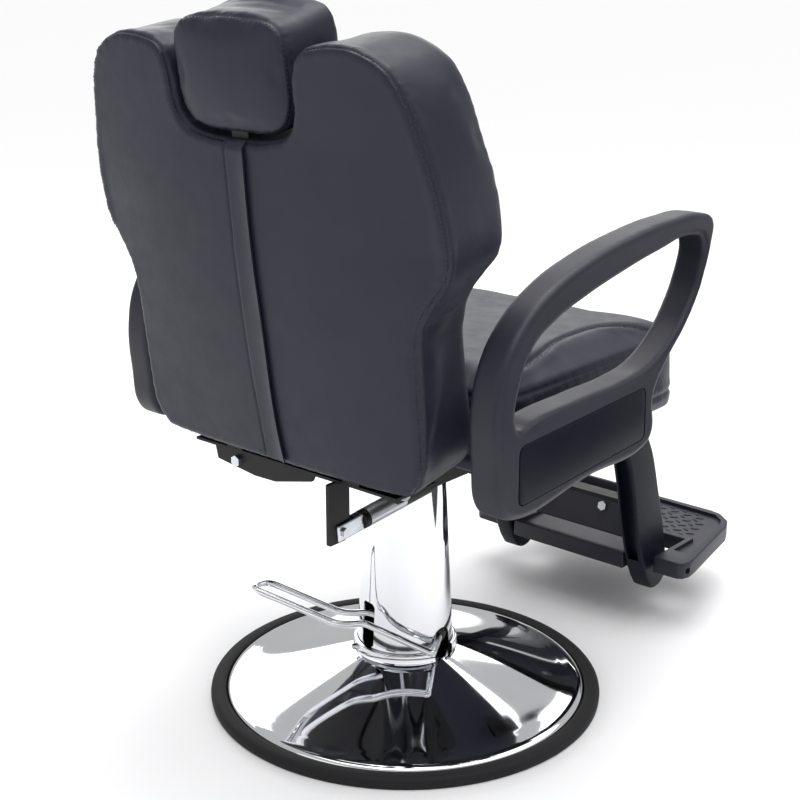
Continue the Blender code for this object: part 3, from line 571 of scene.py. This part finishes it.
def back_outline():
    return [(p.x, p.y) for p in smooth_path([(*p, 0) for p in mirrored(BACK_HALF)], 5, True)]


def rear_bulge(x, s):
    """How far the curved rear panel stands behind the plane the back leans in, at height s."""
    middle = 0.013 * np.clip(1 - ((s - 0.22) / 0.27) ** 2, 0.25, 1)
    edge = -np.interp(s, [0.0, 0.07, 0.24, 0.33, 0.45, 0.57],
                      [0.004, 0.006, 0.015, 0.019, 0.014, 0.008])
    return middle + (edge - middle) * np.clip(np.abs(x) / 0.29, 0, 1) ** 2


def make_back():
    outline = back_outline()
    pad = soft_block(slab("back_pad", outline, -0.118, 0.001, "Y"), 0.0052, 9)
    values = coordinates(pad)
    rear = np.clip((values[:, 1] + 0.045) / 0.045, 0, 1)
    values[:, 1] += rear * rear_bulge(values[:, 0], values[:, 2])
    front = np.clip((-0.020 - values[:, 1]) / 0.098, 0, 1)
    values[:, 1] -= 0.021 * front * np.clip((values[:, 2] - 0.20) / 0.10, 0, 1)
    nose = np.clip((front - 0.70) / 0.30, 0, 1) ** 2
    values[:, 2] -= 0.018 * nose * np.clip((values[:, 2] - 0.40) / 0.16, 0, 1)
    set_coordinates(pad, values)
    depth = values[:, 1] - rear * rear_bulge(values[:, 0], values[:, 2])
    cap = np.interp(depth, [-0.138, -0.105, -0.050, -0.012, 0.0],
                    [0.009, 0.006, 0.004, 0.003, 0.001])
    notch = (np.abs(values[:, 0]) < 0.118) & (values[:, 2] > 0.43)
    cap[notch] *= 0.15
    pad = swell(pad, cap, depth > -0.004)
    pad.data.transform(BACK)

    rear_seam = [BACK @ Vector((x, float(rear_bulge(x, z)) - 0.003, z)) for x, z in outline]
    front_seam = [BACK @ Vector((x * 0.955, -0.150, 0.27 + (z - 0.27) * 0.965))
                  for x, z in outline]
    tree = surface_of(pad)
    rear_line = seam_on(tree, rear_seam)
    front_line = seam_on(tree, front_seam)
    press_seams(pad, [rear_line], gather=0.00034)
    press_seams(pad, [front_line], depth=0.0018)
    place_piece(pad, "backrest", LEATHER, "leatherette", "back_cushion", "back_cover",
                "back_board", angle=70)
    tree = surface_of(pad)
    stitches("back_stitches", tree, [rear_line], "backrest", (-0.0030, 0.0030))
    make_placket(tree)


def make_placket(tree):
    """The strip that covers the closure down the middle of the rear panel."""
    rows, width_steps = 90, 26
    points = []
    for layer in (0, 1):
        for i in range(rows + 1):
            s = 0.016 + (0.446 - 0.016) * i / rows
            sway = 0.0022 * math.sin(i * 0.11) * (1 - i / rows)
            for j in range(width_steps + 1):
                share = j / width_steps
                x = 0.0200 - 0.0400 * share + sway * share
                ray = BACK @ Vector((x, 0.060, s))
                spot, normal, _, _ = tree.ray_cast(ray, BACK.to_3x3() @ Vector((0, -1, 0)))
                stitched = 0.0011 * math.exp(-((share - 0.10) / 0.045) ** 2)
                lift = 0.0005 + 0.0040 * share ** 3 - stitched
                thick = 0.0013 if layer else -0.0006
                points.append(spot + normal * (lift * (1 if layer else 0.8) + thick))
    row = width_steps + 1
    size = row * (rows + 1)
    faces = []
    for i in range(rows):
        for j in range(width_steps):
            a = i * row + j
            faces.append((a, a + 1, a + row + 1, a + row))
            faces.append((size + a, size + a + row, size + a + row + 1, size + a + 1))
    rim = list(range(row)) + [i * row + row - 1 for i in range(1, rows + 1)]
    rim += [rows * row + j for j in range(row - 2, -1, -1)]
    rim += [i * row for i in range(rows - 1, 0, -1)]
    faces += [(a, b, size + b, size + a) for a, b in zip(rim, rim[1:] + rim[:1])]
    strip = mesh_of("back_placket", points, faces)
    place_piece(strip, "backrest", LEATHER, "leatherette", angle=60)
    line = [BACK @ Vector((0.0165, 0.012, 0.018 + 0.426 * k / 60)) for k in range(61)]
    stitches("placket_stitches", surface_of(strip), [line], "backrest", (0.0,))


# ---------------------------------------------------------------- headrest
HEADREST_HALF = [(0.000, 0.4555), (0.050, 0.4570), (0.081, 0.468), (0.096, 0.494),
                 (0.0985, 0.530), (0.098, 0.558), (0.091, 0.584), (0.068, 0.597), (0.000, 0.601)]


def make_headrest():
    outline = [(p.x, p.y) for p in
               smooth_path([(*p, 0) for p in mirrored(HEADREST_HALF)], 5, True)]
    pad = soft_block(slab("headrest_pad", outline, -0.106, -0.004, "Y"), 0.0042, 15)
    values = coordinates(pad)
    rear = np.clip((values[:, 1] + 0.04) / 0.04, 0, 1)
    dome = np.clip(1 - (values[:, 0] / 0.10) ** 2, 0, 1) * np.clip(
        1 - ((values[:, 2] - 0.528) / 0.075) ** 2, 0, 1)
    values[:, 1] += 0.010 * rear * dome
    front = np.clip((-0.05 - values[:, 1]) / 0.05, 0, 1)
    values[:, 2] += 0.008 * front * np.clip((values[:, 2] - 0.53) / 0.06, 0, 1)
    set_coordinates(pad, values)
    cap = np.interp(values[:, 1], [-0.11, -0.08, -0.02, 0.0], [0.012, 0.008, 0.005, 0.004])
    beside_notch = (np.abs(values[:, 0]) > 0.084) | (values[:, 2] < 0.474)
    cap[beside_notch] *= 0.3
    pad = swell(pad, cap, np.abs(values[:, 1] + 0.055) < 0.004)
    pad.data.transform(BACK)
    tree = surface_of(pad)
    seam = [BACK @ Vector((x, -0.010, z)) for x, z in outline]
    line = seam_on(tree, seam)
    press_seams(pad, [line], depth=0.0018, gather=0.00034)
    place_piece(pad, "headrest", LEATHER, "leatherette", "headrest_cushion", "headrest_board",
                angle=70)
    stitches("headrest_stitches", surface_of(pad), [line], "headrest", (-0.0028,))


# ---------------------------------------------------------------- seat
SEAT_HALF = [(0.000, -0.352), (0.200, -0.350), (0.240, -0.338), (0.255, -0.305), (0.257, -0.15),
             (0.257, 0.060), (0.250, 0.097), (0.225, 0.109), (0.000, 0.111)]
BOLSTER = [(0.222, 0.060), (0.205, -0.040), (0.185, -0.124), (0.189, -0.220), (0.239, -0.290)]


def make_seat():
    outline = [(p.x, p.y) for p in smooth_path([(*p, 0) for p in mirrored(SEAT_HALF)], 5, True)]
    pad = soft_block(slab("seat_pad", outline, 0.4312, 0.5540, "Z"), 0.0056, 9)
    values = coordinates(pad)
    cap = np.interp(values[:, 2], [0.436, 0.446, 0.500, 0.545, 0.556],
                    [0.0003, 0.002, 0.006, 0.009, 0.016])
    pad = swell(pad, cap, values[:, 2] < 0.4370, 14)
    tree = surface_of(pad)
    seams = []
    for side, _ in SIDES:
        curve = smooth_path([(side * x, y, 0.60) for x, y in BOLSTER], 12)
        down = []
        for p in evenly(curve, PATH_PITCH):
            spot, _, _, _ = tree.ray_cast(p, Vector((0, 0, -1)))
            down.append(spot)
        seams.append(down)
    edge = [Vector((x, y, 0.541)) for x, y in outline]
    lower = [Vector((x, y, 0.459)) for x, y in outline]
    edge_line = seam_on(tree, edge)
    low_line = seam_on(tree, lower)
    press_seams(pad, seams, depth=0.0034, width=0.0038)
    press_seams(pad, [edge_line, low_line], gather=0.0003)
    place_piece(pad, "seat", LEATHER, "leatherette", "seat_cushion", "seat_board",
                angle=70)
    stitches("seat_stitches", surface_of(pad), seams, "seat", (-0.0042, 0.0042))


# ---------------------------------------------------------------- armrests
ARM_OUTLINE = [(0.196, 0.426), (0.030, 0.437), (-0.112, 0.446), (-0.127, 0.462), (-0.126, 0.515),
               (-0.152, 0.552), (-0.202, 0.600), (-0.240, 0.655), (-0.261, 0.710),
               (-0.262, 0.740), (-0.232, 0.752), (-0.160, 0.755), (-0.060, 0.748),
               (0.040, 0.732), (0.120, 0.708), (0.178, 0.675), (0.216, 0.630), (0.232, 0.575),
               (0.230, 0.500), (0.218, 0.440)]
ARM_LOOP = [(0.190, 0.548), (0.186, 0.595), (0.160, 0.640), (0.115, 0.665), (0.050, 0.684),
            (-0.030, 0.701), (-0.120, 0.716), (-0.205, 0.724), (-0.236, 0.712),
            (-0.230, 0.668), (-0.205, 0.626), (-0.165, 0.588), (-0.115, 0.562), (-0.060, 0.553),
            (0.040, 0.551), (0.150, 0.547), (0.180, 0.541)]
PANEL_CORNERS = [(0.188, 0.441), (-0.103, 0.458), (-0.100, 0.534), (0.188, 0.522)]


def round_quad(corners, radius, grow=1.0, steps=7):
    """A four-cornered outline with arcs at its corners, scaled about its middle."""
    middle = sum((Vector(c) for c in corners), Vector((0, 0))) / len(corners)
    corners = [middle + (Vector(c) - middle) * grow for c in corners]
    result = []
    for i, corner in enumerate(corners):
        to_a = (corners[i - 1] - corner).normalized()
        to_b = (corners[(i + 1) % 4] - corner).normalized()
        half = to_a.angle(to_b) / 2
        start = corner + to_a * radius / math.tan(half)
        end = corner + to_b * radius / math.tan(half)
        for k in range(steps + 1):
            t = k / steps
            result.append(start * (1 - t) ** 2 + corner * 2 * t * (1 - t) + end * t * t)
    return [tuple(p) for p in result]


def arm_solid(side):
    data = bpy.data.curves.new("arm", "CURVE")
    data.dimensions, data.fill_mode = "2D", "BOTH"
    edge = 0.009
    data.extrude = (ARM_X[1] - ARM_X[0]) / 2 - edge
    data.bevel_depth, data.bevel_resolution, data.offset = edge, 5, -edge
    data.resolution_u = 10
    for loop in (ARM_OUTLINE, ARM_LOOP):
        spline = data.splines.new("BEZIER")
        spline.bezier_points.add(len(loop) - 1)
        for point, place in zip(spline.bezier_points, loop):
            point.co = (*place, 0)
            point.handle_left_type = point.handle_right_type = "AUTO"
        spline.use_cyclic_u = True
    obj = bpy.data.objects.new("arm_shell", data)
    obj.rotation_euler = (math.pi / 2, 0, math.pi / 2)
    obj.location.x = side * (ARM_X[0] + ARM_X[1]) / 2
    scene.collection.objects.link(obj)
    return bake_place(freeze(obj))


def make_arms():
    for side, word in SIDES:
        shell = arm_solid(side)
        shell.name = "arm_shell_" + word
        shell = soft_block(shell, 0.0030, 5)
        finer = shell.modifiers.new("finer", "SUBSURF")
        finer.levels = finer.render_levels = 1
        freeze(shell)
        face = side * ARM_X[1]
        span = sorted((face - side * 0.0034, face + side * 0.02))
        cut(shell, slab("pocket", round_quad(PANEL_CORNERS, 0.013), *span, "X"))
        place_piece(shell, "seat", PLASTIC, "black_plastic", "arm_" + word, angle=40)
        inset = slab("arm_inset_" + word, round_quad(PANEL_CORNERS, 0.012, 0.982),
                     *sorted((face - side * 0.0032, face + side * 0.0002)), "X")
        bevel = inset.modifiers.new("edge", "BEVEL")
        bevel.width, bevel.segments, bevel.limit_method = 0.0014, 3, "ANGLE"
        freeze(inset)
        place_piece(inset, "seat", INSET_AND_SHADED_PLASTIC, "black_plastic", "arm_panel_" + word, angle=50)


# ---------------------------------------------------------------- base and column
def make_base():
    fall = [(0.0690 + 0.179 * t, 0.0225 + 0.052 * (1 - t) ** 1.12)
            for t in [k / 40 for k in range(41)]]
    band = [(0.2520, 0.0216), (0.2600, 0.0203), (0.2660, 0.0193), (0.2705, 0.0180),
            (0.2735, 0.0160), (0.2752, 0.0130), (0.2760, 0.0090), (0.2760, 0.0038)]
    outer = fall + band
    inner = [(r - 0.0012, z - 0.0013) for r, z in outer]
    inner[-1] = (0.2746, 0.0038)
    dish = lathe("dish_cover", outer + inner[::-1], 192)
    place_piece(dish, "base", CHROME, "chrome", "base_dish", angle=50)

    ring = [(0.2800, 0.0170), (0.2850, 0.0176), (0.2900, 0.0177), (0.2940, 0.0171),
            (0.2972, 0.0154), (0.2992, 0.0126), (0.3000, 0.0085), (0.2998, 0.0050),
            (0.2992, 0.0015), (0.2980, 0.0), (0.2555, 0.0), (0.2555, 0.0030), (0.2768, 0.0030),
            (0.2768, 0.0150)]
    place_piece(lathe("floor_ring", ring, 192), "base", RUBBER, "rubber", "base_ring")


def lever_point(u, v, z):
    return Matrix.Rotation(LEVER_TURN, 4, "Z") @ Vector((u, v, z))


def arch(name):
    arc = [(0.020 * math.cos(math.pi * k / 24), 0.102 + 0.020 * math.sin(math.pi * k / 24))
           for k in range(25)]
    return slab(name, arc + [(-0.020, 0.060), (0.020, 0.060)], -0.100, -0.050, "X")


def make_column():
    rows = [k / 30 for k in range(31)]
    outer = [(0.0735 + (0.0598 - 0.0735) * t, 0.0785 + (0.362 - 0.0785) * t) for t in rows]
    outer[-1:] = [(0.0598, 0.3608), (0.0592, 0.3620)]
    inner = [(r - 0.0018, z) for r, z in outer[::-1]]
    inner[0] = (0.0583, 0.3620)
    sleeve = lathe("column_shell", outer + inner)
    cut(sleeve, arch("mouth"))
    spot = lever_point(0.0470, 0.053, 0)
    slot = slab("slot", [(-0.0085, 0.091), (0.0085, 0.091), (0.0135, 0.096), (0.0135, 0.157),
                         (0.0085, 0.162), (-0.0085, 0.162), (-0.0135, 0.157), (-0.0135, 0.096)],
                -0.025, 0.025, "X")
    slot.location = (spot.x, spot.y, 0)
    slot.rotation_euler.z = math.atan2(spot.y, spot.x)
    cut(sleeve, slot)
    place_piece(sleeve, "base", CHROME, "chrome", "column_sleeve", angle=30)

    collar = [(0.0742, 0.0905), (0.0764, 0.0905), (0.0780, 0.0898), (0.0788, 0.0884),
              (0.0790, 0.0866), (0.0790, 0.0790), (0.0796, 0.0770), (0.0800, 0.0753),
              (0.0650, 0.0753), (0.0650, 0.0781), (0.0742, 0.0781)]
    ring = lathe("collar_shell", collar)
    cut(ring, arch("collar_gap"))
    place_piece(ring, "base", CHROME, "chrome", "column_collar", angle=30)

    bush = [(0.0540, 0.3650), (0.0566, 0.3642), (0.0576, 0.3626), (0.0576, 0.3500),
            (0.0279, 0.3500), (0.0279, 0.3650)]
    place_piece(lathe("bush_ring", bush), "base", PLASTIC, "black_plastic", "sleeve_bush")
    ram = [(0.0, 0.3915), (0.0215, 0.3915), (0.0225, 0.3900), (0.0225, 0.3660), (0.0275, 0.3660),
           (0.0275, 0.0790), (0.0265, 0.0780), (0.0, 0.0780)]
    obj = lathe("ram_rod", ram, 96)
    weld(obj)
    place_piece(obj, "ram", CHROME, "chrome", "ram", angle=30)


def weld(obj):
    """Join the points of a turned piece that meet on its axis."""
    bm = bmesh.new()
    bm.from_mesh(obj.data)
    bmesh.ops.remove_doubles(bm, verts=bm.verts, dist=0.00002)
    bmesh.ops.dissolve_degenerate(bm, edges=bm.edges, dist=0.00001)
    bmesh.ops.recalc_face_normals(bm, faces=bm.faces)
    bm.to_mesh(obj.data)
    bm.free()


def tube(name, path, radius, sides=10):
    """A round rod along a path, with rounded ends."""
    data = bpy.data.curves.new(name, "CURVE")
    data.dimensions = "3D"
    spline = data.splines.new("POLY")
    spline.points.add(len(path) - 1)
    for point, place in zip(spline.points, path):
        point.co = (*place, 1)
    data.bevel_depth, data.bevel_resolution, data.use_fill_caps = radius, sides, True
    obj = bpy.data.objects.new(name, data)
    scene.collection.objects.link(obj)
    obj = freeze(obj)
    weld(obj)
    return obj


def arc_path(points, radius, steps=8):
    """Straight runs joined by curves."""
    points = [Vector(p) for p in points]
    result = [points[0]]
    for a, b, c in zip(points, points[1:], points[2:]):
        reach = min(radius, (a - b).length * 0.45, (c - b).length * 0.45)
        start, end = b + (a - b).normalized() * reach, b + (c - b).normalized() * reach
        for k in range(steps + 1):
            t = k / steps
            result.append(start * (1 - t) ** 2 + b * 2 * t * (1 - t) + end * t * t)
    return result + [points[-1]]


def make_foot_lever():
    u, z = -0.058, 0.106
    path = [(u, 0.080, z), (u, 0.091, z), (0.046, 0.091, 0.1468), (0.067, 0.091, 0.1425),
            (0.090, 0.091, 0.1425), (0.217, 0.091, 0.1895), (0.201, 0.053, 0.1835),
            (0.090, 0.053, 0.1425), (0.067, 0.053, 0.1425), (0.046, 0.053, 0.1468),
            (-0.026, 0.053, 0.1180), (u + 0.0075, 0.0370, z + 0.0030)]
    bar = tube("lever_rod", arc_path([lever_point(*p) for p in path], 0.016), 0.0053)
    place_piece(bar, "pump_lever", CHROME, "chrome", "foot_lever_bar", angle=50)


# ---------------------------------------------------------------- gas spring
def make_gas_spring():
    along = (GAS_REAR - GAS_FRONT).normalized()
    turn = Matrix.Translation(GAS_FRONT) @ along.to_track_quat("Z", "Y").to_matrix().to_4x4()
    end = (GAS_REAR - GAS_FRONT).length - 0.0400
    wall = [(0.0053, 0.0885), (0.0120, 0.0880), (0.0132, 0.0888), (0.0135, 0.0900),
            (0.0135, end - 0.0090), (0.0128, end - 0.0085), (0.0128, end - 0.0065),
            (0.0135, end - 0.0060), (0.0135, end - 0.0018), (0.0130, end - 0.0005),
            (0.0118, end), (0.0, end), (0.0, end - 0.0080), (0.0053, end - 0.0080)]
    body = lathe("gas_tube", wall, 72)
    weld(body)
    body.data.transform(turn)
    place_piece(body, "gas_cylinder", STEEL, "black_steel", "gas_cylinder", angle=35)
    band = [(0.01355, LABEL[0]), (0.01375, LABEL[0] + 0.0002), (0.01375, LABEL[1] - 0.0002),
            (0.01355, LABEL[1])]
    label = lathe("gas_band", band, 72)
    label.data.transform(turn)
    place_piece(label, "gas_cylinder", SILVER, "zinc", angle=35)


# ---------------------------------------------------------------- footrest
LEG_FRONT = [(-0.402, 0.366), (-0.443, 0.310), (-0.470, 0.232), (-0.492, 0.160),
             (-0.507, 0.095)]
LEG_REAR = [(-0.446, 0.070), (-0.428, 0.110), (-0.407, 0.175), (-0.392, 0.240), (-0.374, 0.300),
            (-0.345, 0.352)]
LEG_HINGE = (-0.325, 0.402)
TREAD_PIVOT = (-0.470, 0.0995)
LINK_EYE = (-0.315, 0.382)


def turned_rod(name, x0, x1, y, z, radius, steps=40):
    obj = lathe(name, [(0, x0), (radius, x0), (radius, x1), (0, x1)], steps)
    weld(obj)
    obj.data.transform(Matrix.Translation((0, y, z)) @ Matrix.Rotation(math.pi / 2, 4, "Y"))
    return obj


def leg_outline():
    eye = [(LEG_HINGE[0] + 0.0195 * math.cos(math.radians(a)),
            LEG_HINGE[1] + 0.0195 * math.sin(math.radians(a))) for a in range(-30, 106, 9)]
    foot = [(-0.477 + 0.032 * math.cos(math.radians(a)), 0.080 + 0.032 * math.sin(math.radians(a)))
            for a in range(190, 316, 8)]
    front = [(p.x, p.y) for p in smooth_path([(*p, 0) for p in [eye[-1]] + LEG_FRONT], 6)][1:]
    rear = [(p.x, p.y) for p in smooth_path([(*p, 0) for p in LEG_REAR], 6)]
    return eye + front + foot + rear[1:]


def link_lug():
    """The boss that carries the recline link's front pin."""
    y, z = LEG_HINGE
    arc = [(LINK_EYE[0] + 0.0095 * math.cos(math.radians(a)),
            LINK_EYE[1] + 0.0095 * math.sin(math.radians(a))) for a in range(-100, 51, 10)]
    return arc + [(y + 0.012, z + 0.004), (y - 0.012, z), (y - 0.010, z - 0.018)]


def make_legs():
    outline = leg_outline()
    rear = [(p.x, p.y) for p in smooth_path([(*p, 0) for p in LEG_REAR[1:]], 6)]
    groove = [(y - 0.013, z) for y, z in rear] + [(y + 0.03, z) for y, z in reversed(rear)]
    for side, word in SIDES:
        x = sorted((side * LEG_X[0], side * LEG_X[1]))
        leg = slab("leg_" + word, outline, *x, "X")
        rounding = leg.modifiers.new("edge", "BEVEL")
        rounding.width, rounding.segments, rounding.limit_method = 0.006, 5, "ANGLE"
        rounding.angle_limit = math.radians(60)
        freeze(leg)
        cut(leg, slab("groove", groove, *sorted((side * 0.1275, side * 0.1485)), "X"))
        if side > 0:
            cut(leg, slab("lug", link_lug(), LEG_X[0] + 0.001, 0.1400, "X"), "UNION")
            cut(leg, turned_rod("link_hole", 0.10, 0.1336, *LINK_EYE, LINK_PIN_HOLE))
        for y, z in (LEG_HINGE, TREAD_PIVOT):
            cut(leg, turned_rod("hole", *sorted((side * 0.10, side * 0.17)), y, z, PIN_HOLE))
        # The legs wear the darker plastic as painted shade.
        place_piece(leg, "footrest", INSET_AND_SHADED_PLASTIC, "black_plastic", "footrest_leg_" + word, angle=32)


def make_tray():
    half = [(0.0, -0.432), (0.1150, -0.432), (0.1150, -0.556), (0.1615, -0.556),
            (0.1615, -0.452), (0.208, -0.454), (0.216, -0.460), (0.2205, -0.474),
            (0.2170, -0.500), (0.188, -0.652), (0.176, -0.678), (0.150, -0.699), (0.130, -0.7035),
            (0.0, -0.704)]
    well = [(0.0, -0.442), (0.105, -0.442), (0.105, -0.566), (0.172, -0.566), (0.172, -0.500),
            (0.203, -0.500), (0.178, -0.648), (0.166, -0.672), (0.146, -0.688), (0.0, -0.692)]
    tray = slab("foot_tray", mirrored(half), 0.086, 0.115, "Z")
    edge = tray.modifiers.new("edge", "BEVEL")
    edge.width, edge.segments, edge.limit_method = 0.0028, 4, "ANGLE"
    freeze(tray)
    cut(tray, slab("well", mirrored(well), 0.109, 0.125, "Z"))
    cut(tray, turned_rod("bore", -0.25, 0.25, *TREAD_PIVOT, PIN_HOLE))
    place_piece(tray, "footplate", PLASTIC, "black_plastic", "footplate", angle=32)
    make_dashes()


def make_dashes():
    """Staggered anti-slip ribs on the tray's floor."""
    bm = bmesh.new()
    for row in range(9):
        y = -0.581 - 0.0122 * row
        reach = 0.165 - 0.0024 * row if y > -0.66 else 0.140
        count = int(reach * 2 / 0.026)
        for k in range(count + 1):
            x = -reach + 0.026 * k + (0.013 if row % 2 else 0)
            if abs(x) > reach - 0.008:
                continue
            made = bmesh.ops.create_uvsphere(bm, u_segments=12, v_segments=8, radius=1.0)
            bmesh.ops.scale(bm, vec=(0.0080, 0.0026, 0.0018), verts=made["verts"])
            bmesh.ops.rotate(bm, verts=made["verts"],
                             matrix=Matrix.Rotation(math.radians(28 if row % 2 else -28), 3, "Z"))
            bmesh.ops.translate(bm, vec=(x, y, 0.1092), verts=made["verts"])
    place_piece(mesh_from(bm, "tray_ribs"), "footplate", PLASTIC, "black_plastic", angle=60)


# ---------------------------------------------------------------- carried-over CAD nodes
def dress_frame():
    slots = {s["node"]: s["material_slot"] for s in frame["record"]["subparts"]}
    for name, obj in frame["nodes"].items():
        look = SLOT_LOOKS[slots[name]]
        for material_slot in obj.material_slots:
            material_slot.material = look
        if not obj.material_slots:
            obj.data.materials.append(look)


make_camera()
make_studio()
dress_frame()
make_base()
make_column()
make_foot_lever()
make_gas_spring()
make_arms()
make_legs()
make_tray()
make_seat()
make_back()
make_headrest()
